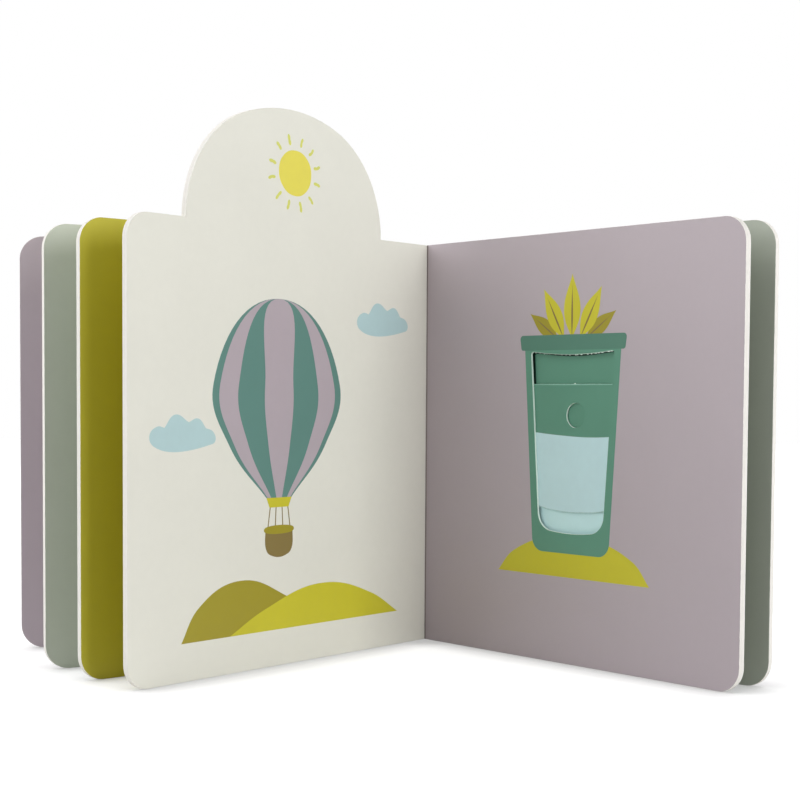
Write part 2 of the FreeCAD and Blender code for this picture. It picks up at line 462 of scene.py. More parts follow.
def printed(name, base, board, brush=0.02, gloss=0.5, coat=0.1):
    """Laminated print: faint brush mottling, paper tooth and a satin film."""
    finish = Finish(name)
    place = board_place(finish, board)
    wash = finish.noise(place, 30 * MM, detail=3.0)
    mottle = finish.noise(place, 3.4 * MM, detail=4.0)
    tooth = finish.noise(place, 0.22 * MM, detail=1.0)
    film = finish.noise(place, 1.1 * MM)
    uneven = finish.mixture((wash, 0.5), (mottle, 0.35), (tooth, 0.15))
    return finish.surface({
        "Base Color": finish.mottled(uneven, base, 1 - brush, 1 + brush),
        "Roughness": finish.spread(mottle, gloss - 0.05, gloss + 0.05),
        "Normal": finish.bump(tooth, 0.003 * MM, finish.bump(film, 0.012 * MM)),
        "Specular IOR Level": 0.4,
        "Coat Weight": coat,
        "Coat Roughness": 0.32,
    })


def cut_edge(name, core, board, skins=(), glue_line=None, rear_shade=None):
    """Bare cut board: fine plies along the edge, a glue line, the worn rims of its printed skins, and
    painted shade over the rear of its thickness where asked.
    """
    finish = Finish(name)
    place = board_place(finish, board)
    plies = finish.noise(place, 0.16 * MM, detail=3.0, stretch=(40, 1, 40))
    fibres = finish.noise(place, 0.5 * MM, detail=4.0, stretch=(3, 1, 3))
    flecks = finish.noise(place, 2.2 * MM, stretch=(1, 0.3, 1))
    uneven = finish.mixture((plies, 0.6), (fibres, 0.4))
    shown = finish.mottled(uneven, core, 0.93, 1.0, low=0.32, high=0.68)
    depth = finish.node("ShaderNodeSeparateXYZ", {"Vector": place}).outputs["Y"]
    if glue_line is not None:
        line = finish.spread(finish.gap(depth, glue_line), 0.26, 0.0, low=0.04 * MM, high=0.12 * MM)
        shown = finish.blend(line, shown, shade_of(core, 0.5))
    for skin_depth, skin_colour in skins:
        off_skin = finish.gap(depth, skin_depth)
        ragged = finish.spread(flecks, 0.03 * MM, 0.08 * MM, low=0.35, high=0.65)
        skin = finish.maths("LESS_THAN", off_skin, ragged)
        shown = finish.blend(skin, shown, shade_of(skin_colour))
    # Painted shade: from this depth to the rear face the cut wall takes a dark colour, standing in for the
    # shadow behind it.
    if rear_shade is not None:
        start, rear_shade_colour = rear_shade
        stained = finish.maths("GREATER_THAN", depth, start)
        shown = finish.blend(stained, shown, shade_of(rear_shade_colour))
    return finish.surface({
        "Base Color": shown,
        "Roughness": finish.spread(fibres, 0.72, 0.9),
        "Normal": finish.bump(fibres, 0.03 * MM, finish.bump(plies, 0.02 * MM)),
        "Specular IOR Level": 0.2,
    })


def folded_paper(name, base, brush=0.05):
    """Uncoated folded sheet with fibres that run up the fold."""
    finish = Finish(name)
    fibres = finish.noise(finish.place(), 0.3 * MM, detail=4.0, stretch=(1, 1, 8))
    return finish.surface({
        "Base Color": finish.mottled(fibres, base, 1 - brush, 1 + brush),
        "Roughness": finish.spread(fibres, 0.62, 0.8),
        "Normal": finish.bump(fibres, 0.02 * MM),
        "Specular IOR Level": 0.3,
    })


def wrapped(name, base, brush=0.025):
    """Laminated cover sheet: a satin film over a plain print, with faint scuffs."""
    finish = Finish(name)
    place = finish.place()
    wash = finish.noise(place, 40 * MM, detail=3.0)
    tooth = finish.noise(place, 0.3 * MM)
    scuffs = finish.noise(place, 1.6 * MM, detail=5.0, stretch=(1, 1, 5))
    film = finish.noise(place, 1.2 * MM)
    uneven = finish.mixture((wash, 0.7), (tooth, 0.3))
    return finish.surface({
        "Base Color": finish.mottled(uneven, base, 1 - brush, 1 + brush),
        "Roughness": finish.spread(scuffs, 0.34, 0.5),
        "Normal": finish.bump(film, 0.014 * MM),
        "Coat Weight": 0.2,
        "Coat Roughness": 0.25,
    })


# ---- boards ----


def merged_copy(node, name, flat_angle=0.4):
    """A copy of a modelled board with its triangles merged into whole faces."""
    piece = bpy.data.objects.new(name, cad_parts[node].data.copy())
    bpy.context.scene.collection.objects.link(piece)
    piece.data.name = name
    piece.data.materials.clear()
    only(piece)
    bpy.ops.mesh.customdata_custom_splitnormals_clear()
    close(piece, recalculate=False)
    edit(piece)
    bpy.ops.mesh.dissolve_limited(angle_limit=math.radians(flat_angle))
    leave()
    return piece


def paint_sides(piece, board, first, second, edge, fold=None):
    """Give each side its print, the cut edges their bare board, and the fold behind the root its sheet."""
    for material in (first, second, edge, fold or edge):
        piece.data.materials.append(material)
    behind_root = -0.02 * MM
    for face in piece.data.polygons:
        facing = face.normal.dot(board.across)
        if board.reach(face.center) < behind_root:
            face.material_index = FOLD
        elif facing < -FLAT:
            face.material_index = FIRST
        elif facing > FLAT:
            face.material_index = SECOND
        else:
            face.material_index = EDGE


def window_box(panel):
    """Reach and height limits of the panel's window, which is the only thing well inside its outline."""
    margin = 20 * MM
    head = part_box(panel.node)[1].z
    points = []
    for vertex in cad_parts[panel.node].data.vertices:
        reach = panel.reach(vertex.co)
        if margin < reach < panel.width - margin and margin < vertex.co.z < head - margin:
            points.append((reach, vertex.co.z))
    reaches = [point[0] for point in points]
    heights = [point[1] for point in points]
    return min(reaches), max(reaches), min(heights), max(heights)


def in_window(panel, point, window, spare=1 * MM):
    left, right, foot, head = window
    inside = left - spare < panel.reach(point) < right + spare
    return inside and foot - spare < point.z < head + spare


def window_side(panel):
    """Foot and head of the straight run of the window's wall on the root side, as (reach, height)."""
    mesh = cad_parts[panel.node].data
    window = window_box(panel)
    middle = (window[0] + window[1]) / 2
    runs = []
    for line in mesh.edges:
        ends = [mesh.vertices[index].co for index in line.vertices]
        level = abs(panel.depth(ends[0]) - panel.depth(ends[1])) < SAME
        on_wall = all(in_window(panel, end, window) and panel.reach(end) < middle for end in ends)
        if level and on_wall:
            runs.append(((ends[0] - ends[1]).length, ends))
    ends = sorted(max(runs, key=lambda run: run[0])[1], key=lambda end: end.z)
    return [(panel.reach(end), end.z) for end in ends]


def round_cuts(piece, board, width, depths, segments=3, window=None):
    """Bevel the cut edges that lie at these depths, leaving the root sharp and a window alone."""
    mesh = piece.data
    root_margin = 0.4 * MM
    facings = {line.key: [] for line in mesh.edges}
    for face in mesh.polygons:
        for key in face.edge_keys:
            facings[key].append(abs(face.normal.dot(board.across)))
    clear_selection(piece, "EDGE")
    for line in mesh.edges:
        ends = [mesh.vertices[index].co for index in line.vertices]
        middle = (ends[0] + ends[1]) / 2
        at_depth = any(abs(board.depth(middle) - depth) < SAME for depth in depths)
        rim = max(facings[line.key]) > FLAT and min(facings[line.key]) < WALL
        left_alone = window is not None and in_window(board, middle, window)
        line.select = rim and at_depth and board.reach(middle) > root_margin and not left_alone
    bpy.ops.object.mode_set(mode="EDIT")
    bpy.ops.mesh.bevel(
        offset=width, segments=segments, profile=0.5, affect="EDGES", clamp_overlap=False, material=EDGE
    )
    leave()


def finished_board(board, name, body, sides, cuts):
    """Copy a board, print its sides, round its cut edges and let it stand for its own node."""
    piece = merged_copy(board.node, name)
    paint_sides(piece, board, *sides)
    for cut in cuts:
        round_cuts(piece, board, *cut)
    soften(piece)
    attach(piece, body)
    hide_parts(board.node)
    return piece


def two_sided_board(board, body, sheets, colours, fold=None, glue_line=None):
    """A board with a printed sheet on each side, whose cut edges show the rims of both sheets."""
    boards = bpy.context.scene.book_boards
    skins = zip((0.0, board.thickness), colours)
    edge = cut_edge(board.node + "_cut", boards.core, board, skins, glue_line)
    cuts = [(boards.cut_rounding, (0.0, board.thickness))]
    finished_board(board, board.node + "_board", body, (*sheets, edge, fold), cuts)


class BOOK_OT_covers(bpy.types.Operator):
    """Make the two cover boards"""

    bl_idname = "book.covers"
    bl_label = "Cover Boards"

    def execute(self, context):
        boards = context.scene.book_boards
        front = Board("front_cover")
        outside = wrapped("front_wrap", boards.wrap)
        inside = printed("front_inside_print", boards.first_mauve, front)
        colours = (boards.wrap, boards.first_mauve)
        two_sided_board(front, "front_cover", (outside, inside), colours)
        back = Board("back_cover")
        inside = printed("back_inside_print", boards.sage_end, back)
        outside = wrapped("back_wrap", boards.wrap)
        colours = (boards.sage_end, boards.wrap)
        two_sided_board(back, "back_cover", (inside, outside), colours)
        return {"FINISHED"}


class BOOK_OT_leaves(bpy.types.Operator):
    """Make the three plain leaves, the last with its arched tab"""

    bl_idname = "book.leaves"
    bl_label = "Leaves"

    def execute(self, context):
        boards = context.scene.book_boards
        fold = folded_paper("folded_sheet", boards.core)
        leaves = (
            ("leaf_1", boards.first_mauve, boards.sage, "sage_leaf_board"),
            ("leaf_2", boards.sage, boards.olive, "olive_leaf_board"),
            ("leaf_3", boards.olive, boards.cream, "cream_leaf_board"),
        )
        for node, first_colour, second_colour, slot in leaves:
            leaf = Board(node)
            first = printed(node + "_first_print", first_colour, leaf)
            second = printed(node + "_second_print", second_colour, leaf)
            colours = (first_colour, second_colour)
            two_sided_board(leaf, "pages", (first, second), colours, fold, leaf.thickness / 2)
        return {"FINISHED"}


class BOOK_OT_slide_leaf(bpy.types.Operator):
    """Make the three boards of the leaf that holds the slide card"""

    bl_idname = "book.slide_leaf"
    bl_label = "Slide Leaf"

    def execute(self, context):
        boards = context.scene.book_boards
        inks = context.scene.book_inks

        panel = Board("slide_window_panel")
        window = window_box(panel)
        page = printed("window_page_print", boards.mauve, panel)
        bare = cut_edge("window_panel_cut", boards.core, panel, ((0.0, boards.mauve),))
        fold = folded_paper("gutter_sheet", boards.mauve)
        cuts = (
            (boards.glue_groove, (panel.thickness,), 1, window),
            (boards.cut_rounding, (0.0,), 3, window),
            (boards.window_rounding, (0.0,)),
        )
        sides = (page, bare, bare, fold)
        piece = finished_board(panel, "window_panel_board", "pages", sides, cuts)
        piece.data.materials.append(cut_edge("window_cut", boards.window_core, panel))
        for face in piece.data.polygons:
            if face.material_index == EDGE and in_window(panel, face.center, window):
                face.material_index = WINDOW

        backing = Board("slide_backing")
        slot_back = printed("slot_back_print", inks.pot_teal, backing)
        rear = printed("last_page_print", boards.sage_end, backing)
        edge = cut_edge("backing_cut", boards.core, backing, ((backing.thickness, boards.sage_end),))
        cuts = ((boards.glue_groove, (0.0,), 1), (boards.cut_rounding, (backing.thickness,)))
        finished_board(backing, "backing_board", "pages", (slot_back, rear, edge), cuts)

        spacer = Board("slide_spacer")
        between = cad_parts[spacer.node].data.materials
        between.clear()
        between.append(cut_edge("spacer_cut", boards.core, spacer, glue_line=spacer.thickness / 2))
        return {"FINISHED"}


class BOOK_OT_slide_card(bpy.types.Operator):
    """Make the slide card with its finger hole"""

    bl_idname = "book.slide_card"
    bl_label = "Slide Card"

    def execute(self, context):
        boards = context.scene.book_boards
        inks = context.scene.book_inks
        card = Board("slide_card")
        face = printed("card_print", inks.pot_teal, card, 0.03)
        # Painted shade: the rear of the card's cut wall, in its finger hole too, is dark in place of the
        # shadow between card and backing.
        rear_shade = (card.thickness - 0.22 * MM, inks.slot_shade)
        edge = cut_edge("card_cut", boards.window_core, card, ((0.0, inks.pot_teal),), rear_shade=rear_shade)
        cuts = [(boards.card_rounding, (0.0, card.thickness))]
        finished_board(card, "slide_card_board", "slide_card", (face, edge, edge), cuts)
        return {"FINISHED"}


# ---- spine and cover folds ----


def upright_strip(inner, outer, height):
    """A standing rectangle between two floor points."""
    bpy.ops.object.select_all(action="DESELECT")
    middle = (inner + outer) / 2 + UP * height / 2
    way = outer - inner
    heading = math.atan2(way.y, way.x)
    bpy.ops.mesh.primitive_plane_add(size=1, location=middle, rotation=(math.pi / 2, 0, heading))
    strip = bpy.context.object
    strip.scale = (way.length, height, 1)
    settle(strip)
    return strip


def turn_between(centre, start, end):
    """The shorter turn about an upright axis that takes one floor point round to another."""
    first = start - centre
    last = end - centre
    angle = math.atan2(last.y, last.x) - math.atan2(first.y, first.x)
    return (angle + math.pi) % (2 * math.pi) - math.pi


def swept_sheet(name, inner, outer, height, sweeps, paper):
    """A standing sheet: an upright strip carried round one upright axis after another."""
    sheet = named(upright_strip(inner, outer, height), name)
    edit(sheet)
    for centre, start, end, steps in sweeps:
        # Spin counts clockwise turns.
        bpy.ops.mesh.spin(steps=steps, angle=-turn_between(centre, start, end), center=centre, axis=UP)
    leave()
    close(sheet)
    sheet.data.materials.append(paper)
    soften(sheet)
    return sheet


def circle_centre(a, b, c):
    """Centre of the circle through three floor points."""
    span = 2 * (a.x * (b.y - c.y) + b.x * (c.y - a.y) + c.x * (a.y - b.y))
    far_a = a.xy.length_squared
    far_b = b.xy.length_squared
    far_c = c.xy.length_squared
    x = far_a * (b.y - c.y) + far_b * (c.y - a.y) + far_c * (a.y - b.y)
    y = far_a * (c.x - b.x) + far_b * (a.x - c.x) + far_c * (b.x - a.x)
    return Vector((x / span, y / span, 0))


class BOOK_OT_spine(bpy.types.Operator):
    """Make the bowed spine, in two halves"""

    bl_idname = "book.spine"
    bl_label = "Spine"

    def execute(self, context):
        front = Board("front_cover")
        back = Board("back_cover")
        front_edge = front.root
        back_edge = back.far_root()
        outward = UP.cross((back_edge - front_edge).normalized())
        # The modelled spine's lower outline gives the arc of its outside and its thickness.
        low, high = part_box("cover_spine")
        points = [point.co.copy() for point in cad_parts["cover_spine"].data.vertices]
        points = [point for point in points if point.z < low.z + SAME]
        crown = max(points, key=lambda point: (point - front_edge).dot(outward))
        centre = circle_centre(front_edge, crown, back_edge)
        radius = (front_edge - centre).length
        crown = centre + outward * radius
        near_crown = [point for point in points if (point - centre).dot(outward) > radius * 0.8]
        thickness = radius - min((point - centre).length for point in near_crown)
        inside = crown - outward * thickness
        height = high.z - low.z
        wrap = wrapped("spine_wrap", context.scene.book_boards.wrap)
        halves = (
            ("front", front_edge, front.far_root()),
            ("back", back_edge, back.root),
        )
        for side, edge, root in halves:
            sweeps = ((centre, crown, edge, 30), (edge, centre, root, 6))
            half = swept_sheet("spine_" + side + "_half", inside, crown, height, sweeps, wrap)
            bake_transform(half)
            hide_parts("cover_spine")
        return {"FINISHED"}


class BOOK_OT_cover_folds(bpy.types.Operator):
    """Make the folded sheets that tie the covers to the leaves"""

    bl_idname = "book.cover_folds"
    bl_label = "Cover Folds"

    def execute(self, context):
        boards = context.scene.book_boards
        front = Board("front_cover")
        leaf = Board("leaf_1")
        slide = Board("slide_backing")
        back = Board("back_cover")
        folds = (
            ("front_cover", leaf.root, leaf.across, -front.across, boards.first_mauve),
            ("back_cover", back.root, -slide.across, back.across, boards.sage_end),
        )
        for cover, axis, pages_way, cover_way, base in folds:
            node = cover + "_fold"
            low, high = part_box(node)
            axis = Vector((axis.x, axis.y, low.z))
            reach = max((point.co - axis).xy.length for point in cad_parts[node].data.vertices)
            pages_end = axis + pages_way * reach
            cover_end = axis + cover_way * reach
            sweeps = [(axis, pages_end, cover_end, 20)]
            paper = folded_paper(node + "_paper", base)
            sheet = swept_sheet(node + "_sheet", axis, pages_end, high.z - low.z, sweeps, paper)
            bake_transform(sheet)
            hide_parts(node)
        return {"FINISHED"}


# ---- outlines ----


def smooth(*points):
    return [(x, y, SMOOTH) for x, y in points]


def sharp(*points):
    return [(x, y, CORNER) for x, y in points]


def scaled(outline, size, narrow=1.0):
    """An outline scaled about its origin, and made narrower by a factor."""
    return [(x * size * narrow, y * size, kind) for x, y, kind in outline]


def moved(outline, across, up):
    return [(x + across, y + up, kind) for x, y, kind in outline]


def turned(outline, centre, angle):
    """An outline turned about its origin and then moved to a point."""
    cos = math.cos(angle)
    sin = math.sin(angle)
    return [(centre[0] + x * cos - y * sin, centre[1] + x * sin + y * cos, kind) for x, y, kind in outline]


def block(left, right, foot, head):
    return sharp((left, foot), (right, foot), (right, head), (left, head))


def pointed_leaf(long, wide):
    side = long * 0.42
    return sharp((0, 0)) + smooth((wide / 2, side)) + sharp((0, long)) + smooth((-wide / 2, side))


def fillet_outline(corners):
    """Outline of (x, y, radius) corners, each rounded by an arc."""
    knots = []
    count = len(corners)
    for index, (x, y, radius) in enumerate(corners):
        if radius <= 0:
            knots.append((x, y, CORNER))
            continue
        here = Vector((x, y))
        before = (Vector(corners[index - 1][:2]) - here).normalized()
        after = (Vector(corners[(index + 1) % count][:2]) - here).normalized()
        bend = math.pi - before.angle(after)
        setback = radius * math.tan(bend / 2)
        # Handles this long make a cubic curve follow the arc.
        pull = 4 / 3 * math.tan(bend / 4) * radius
        start = here + before * setback
        end = here + after * setback
        knots.append((start.x, start.y, tuple(start + before * pull), tuple(start - before * pull)))
        knots.append((end.x, end.y, tuple(end - after * pull), tuple(end + after * pull)))
    return knots


def cup(x, head_half, head, head_round, foot_half, foot, foot_round):
    """Outline of a level-headed shape about x, given by its half widths, heights and corner radii."""
    return fillet_outline([
        (x - head_half, head, head_round),
        (x - foot_half, foot, foot_round),
        (x + foot_half, foot, foot_round),
        (x + head_half, head, head_round),
    ])


# ---- inks ----


def drawn(outline, thickness):
    """A flat closed shape from (x, y, kind) points, or (x, y, left handle, right handle) points."""
    bpy.ops.object.select_all(action="DESELECT")
    bpy.ops.curve.primitive_bezier_circle_add(radius=1)
    shape = bpy.context.object
    curve = shape.data
    curve.dimensions = "2D"
    curve.fill_mode = "BOTH"
    curve.resolution_u = 14
    curve.splines.clear()
    spline = curve.splines.new("BEZIER")
    spline.bezier_points.add(len(outline) - 1)
    spline.use_cyclic_u = True
    for knot, (x, y, *handles) in zip(spline.bezier_points, outline):
        knot.co = (x, y, 0)
        kind = handles[0] if len(handles) == 1 else "FREE"
        knot.handle_left_type = kind
        knot.handle_right_type = kind
        if kind == "FREE":
            knot.handle_left = (*handles[0], 0)
            knot.handle_right = (*handles[1], 0)
    curve.extrude = thickness / 2
    only(shape)
    bpy.ops.object.convert(target="MESH")
    shape = bpy.context.object
    close(shape)
    return shape


class Printer:
    """Lays ink films on one page, each layer a little further off it than the one below."""

    def __init__(self, page, body, prefix, slot):
        self.page = page
        self.body = body
        self.prefix = prefix + "_"
        self.slot = slot
        self.settings = bpy.context.scene.book_inks
        self.inks = {}

    def ink(self, name):
        """The finish of one ink on this page, made at its first use."""
        if name not in self.inks:
            base = getattr(self.settings, name)
            full_name = self.prefix + name + "_ink"
            self.inks[name] = printed(full_name, base, self.page.board, brush=0.035, gloss=0.52, coat=0.06)
        return self.inks[name]

    def lay(self, name, ink, layer, *outlines, cutter=None):
        """Draw separate outlines in one ink and put them on the page."""
        height = self.settings.film * layer
        thickness = height + self.settings.sink
        film = join([drawn(outline, thickness) for outline in outlines], self.prefix + name)
        film.data.transform(Matrix.Translation((0, 0, height - thickness / 2)))
        film.data.transform(self.page.stand)
        if cutter is not None:
            only(film)
            cut = film.modifiers.new("window", "BOOLEAN")
            cut.operation = "DIFFERENCE"
            cut.solver = "EXACT"
            cut.object = cutter
            apply(cut)
        film.data.materials.clear()
        film.data.materials.append(self.ink(ink))
        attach(film, self.body)


class BOOK_OT_creases(bpy.types.Operator):
    """Paint shade along the folds between facing pages"""

    bl_idname = "book.creases"
    bl_label = "Creases"

    def execute(self, context):
        fold_gap = 0.02 * MM
        end_gap = 0.05 * MM
        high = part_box("leaf_1")[1].z
        creases = (
            ("leaf_1", True, "sage_leaf_board", 0.4),
            ("leaf_2", False, "olive_leaf_board", 0.4),
            ("leaf_2", True, "olive_leaf_board", 0.4),
            ("leaf_3", False, "cream_leaf_board", 0.4),
            ("leaf_3", True, "cream_leaf_board", 0.35),
            ("slide_window_panel", False, "mauve_window_board", 0.65),
        )
        for node, second, slot, width in creases:
            prefix = node + ("_second" if second else "_first")
            way = -1 if second else 1
            printer = Printer(Page(Board(node), second), "pages", prefix, slot)
            strip = block(way * fold_gap, way * width * MM, end_gap, high - end_gap)
            # Painted shade: a narrow dark film beside the fold, standing in for the crease's shadow.
            printer.lay("crease", "crease", 1, strip)
        return {"FINISHED"}


class BOOK_OT_sun(bpy.types.Operator):
    """Print the sun on the arched tab"""

    bl_idname = "book.sun"
    bl_label = "Sun"

    def execute(self, context):
        sizes = context.scene.book_pictures
        board = Board("leaf_3")
        printer = Printer(Page(board, True), "pages", "sun", "cream_leaf_board")
        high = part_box("leaf_3")[1].z
        centre = (-board.width / 2 + 1.4 * MM, high - 25.6 * MM)
        radius = sizes.sun_radius
        disc = smooth(
            (1.01, 0), (0.74, 0.68), (0.04, 0.97), (-0.7, 0.71),
            (-0.99, 0.06), (-0.76, -0.6), (-0.1, -0.96), (0.66, -0.76),
        )
        printer.lay("disc", "sun", 1, moved(scaled(disc, radius), *centre))
        chance = random.Random(7)
        step = 2 * math.pi / sizes.rays
        rays = []
        for index in range(sizes.rays):
            start = radius + chance.uniform(1.7, 2.3) * MM
            end = start + sizes.ray_length * chance.uniform(0.86, 1.1)
            half = chance.uniform(0.48, 0.66) * MM
            bow = chance.uniform(-0.3, 0.3) * MM
            middle = (start + end) / 2
            ray = smooth(
                (start, 0), (start + half, half), (middle, bow + half), (end - half, half),
                (end, 0), (end - half, -half), (middle, bow - half), (start + half, -half),
            )
            angle = step * (index + 0.5) + math.radians(chance.uniform(-3, 3))
            rays.append(turned(ray, centre, angle))
        printer.lay("rays", "ray", 1, *rays)
        return {"FINISHED"}


def envelope(printer, x, y, radius):
    """Seven gores: ever narrower copies of one outline, laid one on another."""
    outline = smooth((0, 1), (-1, 0.05), (-0.76, -0.62))
    outline += sharp((-0.2, -1.2), (0.2, -1.2))
    outline += smooth((0.76, -0.62), (1, 0.05))
    for layer, ink in enumerate(("teal", "mauve", "teal", "mauve")):
        narrow = math.sin(math.pi / 2 * (1 - layer * 2 / 7))
        gores = moved(scaled(outline, radius, narrow), x, y)
        printer.lay("gores_" + str(layer + 1), ink, layer + 1, gores)


def hung_basket(printer, x, foot, radius):
    """Skirt, ropes and basket below the foot of an envelope."""
    skirt_foot = foot - 4 * MM
    skirt = cup(x, radius * 0.2, foot, 0, radius * 0.15, skirt_foot, 0)
    printer.lay("skirt", "yellow_green", 1, skirt)
    basket_top = foot - 13 * MM
    half = 0.28 * MM
    ropes = []
    for side in (-1, -0.34, 0.34, 1):
        head = x + side * radius * 0.14
        tail = x + side * 6.6 * MM
        rope = sharp((head - half, skirt_foot), (head + half, skirt_foot))
        ropes.append(rope + sharp((tail + half, basket_top), (tail - half, basket_top)))
    printer.lay("ropes", "brown", 1, *ropes)
    basket = sharp((-8, 0), (8, 0)) + smooth((7.4, -8.4), (5, -10.6), (-5, -10.6), (-7.4, -8.4))
    rim = smooth((-8.8, -0.2), (-8, 0.8), (8, 0.8), (8.8, -0.2), (8, -1.2), (-8, -1.2))
    printer.lay("basket", "brown", 2, moved(scaled(basket, MM), x, basket_top))
    printer.lay("basket_rim", "olive", 3, moved(scaled(rim, MM), x, basket_top))


def hills_and_clouds(printer):
    far_hill = sharp((-150, 15)) + smooth((-141, 28), (-118, 37), (-88, 27)) + sharp((-62, 15))
    near_hill = sharp((-124, 15)) + smooth((-104, 24), (-70, 32), (-38, 25)) + sharp((-20, 15))
    printer.lay("far_hill", "olive", 1, scaled(far_hill, MM))
    printer.lay("near_hill", "yellow_green", 2, scaled(near_hill, MM))
    cloud = smooth((-15, 0), (-17, 4), (-13, 7.5)) + sharp((-9.5, 7)) + smooth((-4, 12)) + sharp((3, 9))
    cloud += smooth((8, 10.4)) + sharp((12, 6.6)) + smooth((16, 5), (17, 1.5), (14, 0))
    cloud = scaled(cloud, MM)
    clouds = (moved(cloud, -31 * MM, 140 * MM), moved(cloud, -149 * MM, 92 * MM))
    printer.lay("clouds", "light_blue", 1, *clouds)


class BOOK_OT_balloon(bpy.types.Operator):
    """Print the striped balloon over the hills on the cream page"""

    bl_idname = "book.balloon"
    bl_label = "Balloon and Hills"

    def execute(self, context):
        radius = context.scene.book_pictures.balloon_radius
        printer = Printer(Page(Board("leaf_3"), True), "pages", "balloon", "cream_leaf_board")
        x = -96 * MM
        y = 114 * MM
        envelope(printer, x, y, radius)
        hung_basket(printer, x, y - radius * 1.2, radius)
        hills_and_clouds(printer)
        return {"FINISHED"}


def window_plug(panel, margin):
    """A block that fills the panel's window and stands this much wider, for cutting films."""
    plug = merged_copy(panel.node, "window_plug")
    window = window_box(panel)
    clear_selection(plug, "FACE")
    for face in plug.data.polygons:
        wall = abs(face.normal.dot(panel.across)) < WALL
        face.select = not (wall and in_window(panel, face.center, window))
    bpy.ops.object.mode_set(mode="EDIT")
    bpy.ops.mesh.delete(type="FACE")
    bpy.ops.mesh.select_all(action="SELECT")
    bpy.ops.mesh.fill_holes(sides=0)
    bpy.ops.mesh.select_all(action="SELECT")
    bpy.ops.mesh.normals_make_consistent(inside=False)
    bpy.ops.transform.shrink_fatten(value=margin)
    leave()
    return plug


def plant(printer, x, foot, size):
    """Pointed leaves with their ribs, fanned out above a pot's head."""
    leaves = ((-56, 0.74), (56, 0.74), (-29, 0.9), (29, 0.9), (0, 1.0))
    for index, (lean, share) in enumerate(leaves):
        long = size * share
        angle = math.radians(-lean)
        base = (x - math.sin(angle) * 9 * MM, foot)
        leaf = turned(pointed_leaf(long, long * 0.34), base, angle)
        rib = turned(pointed_leaf(long * 0.84, long * 0.035), base, angle)
        ink = "olive" if index < 2 else "yellow_green"
        layer = 1 + index // 2
        printer.lay("leaf_" + str(index + 1), ink, layer, leaf)
        printer.lay("rib_" + str(index + 1), "brown", layer + 1, rib)


class BOOK_OT_pot(bpy.types.Operator):
    """Print the planted pot round the window"""

    bl_idname = "book.pot"
    bl_label = "Pot and Plant"

    def execute(self, context):
        sizes = context.scene.book_pictures
        panel = Board("slide_window_panel")
        printer = Printer(Page(panel), "pages", "pot", "mauve_window_board")
        left, right, foot, head = window_box(panel)
        x = (left + right) / 2
        half_head = (right - left) / 2 + sizes.pot_frame
        half_foot = half_head * 0.79
        pot_foot = foot - 8.4 * MM
        lip_foot = head + 0.6 * MM
        lip_head = lip_foot + sizes.lip_height
        mound = sharp((-42, -10)) + smooth((-33, -1), (0, 7), (34, -0.5)) + sharp((43, -10))
        printer.lay("mound", "yellow_green", 1, moved(scaled(mound, MM), x, pot_foot))
        plant(printer, x, lip_head - 2 * MM, sizes.leaf_length)
        body = cup(x, half_head, lip_foot + 2 * MM, 0, half_foot, pot_foot, 6 * MM)
        plug = window_plug(panel, context.scene.book_boards.window_rounding)
        printer.lay("body", "pot_teal", 4, body, cutter=plug)
        bpy.data.objects.remove(plug)
        lip_half = half_head + 3 * MM
        lip = cup(x, lip_half, lip_head, 1.6 * MM, lip_half - 1 * MM, lip_foot, 1.2 * MM)
        printer.lay("lip", "deep_teal", 5, lip)
        return {"FINISHED"}


def print_card(sizes, panel, card):
    """Pale foot of the slide card, and a painted highlight along its head."""
    printer = Printer(Page(panel, depth=panel.depth(card.root)), "slide_card", "card", "teal_card")
    low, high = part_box(card.node)
    left, right, _, _ = window_box(panel)
    x = (left + right) / 2
    half = card.width / 2 - 0.4 * MM
    top = high.z - 21.4 * MM
    side_foot = low.z + sizes.card_bow + 2 * MM
    bow = [
        (x + share * half, low.z + 0.08 * MM + sizes.card_bow * share * share)
        for share in (-0.94, -0.6, -0.25, 0.25, 0.6, 0.94)
    ]
    lower = sharp((x - half, top + 1.6 * MM), (x - half, side_foot)) + smooth(*bow)
    lower += sharp((x + half, side_foot), (x + half, top + 0.6 * MM))
    lower += smooth((x + 12 * MM, top - 0.5 * MM), (x - 6 * MM, top - 0.1 * MM))
    printer.lay("lower", "water", 1, lower)
    near = x - half + 2 * MM
    far = x + half - 2 * MM
    # Painted highlight: the pale band is widest near the middle and thins towards the sides.
    highlight_middle = ((x - half / 2, 0.34), (x - half / 3, 0.44), (x + half / 4, 0.38))
    drops = ((near, 0.04), (near, 0.28), *highlight_middle, (far, 0.3), (far, 0.04))
    line = sharp(*[(across, high.z - drop * MM) for across, drop in drops])
    printer.lay("top_line", "card_line", 1, line)


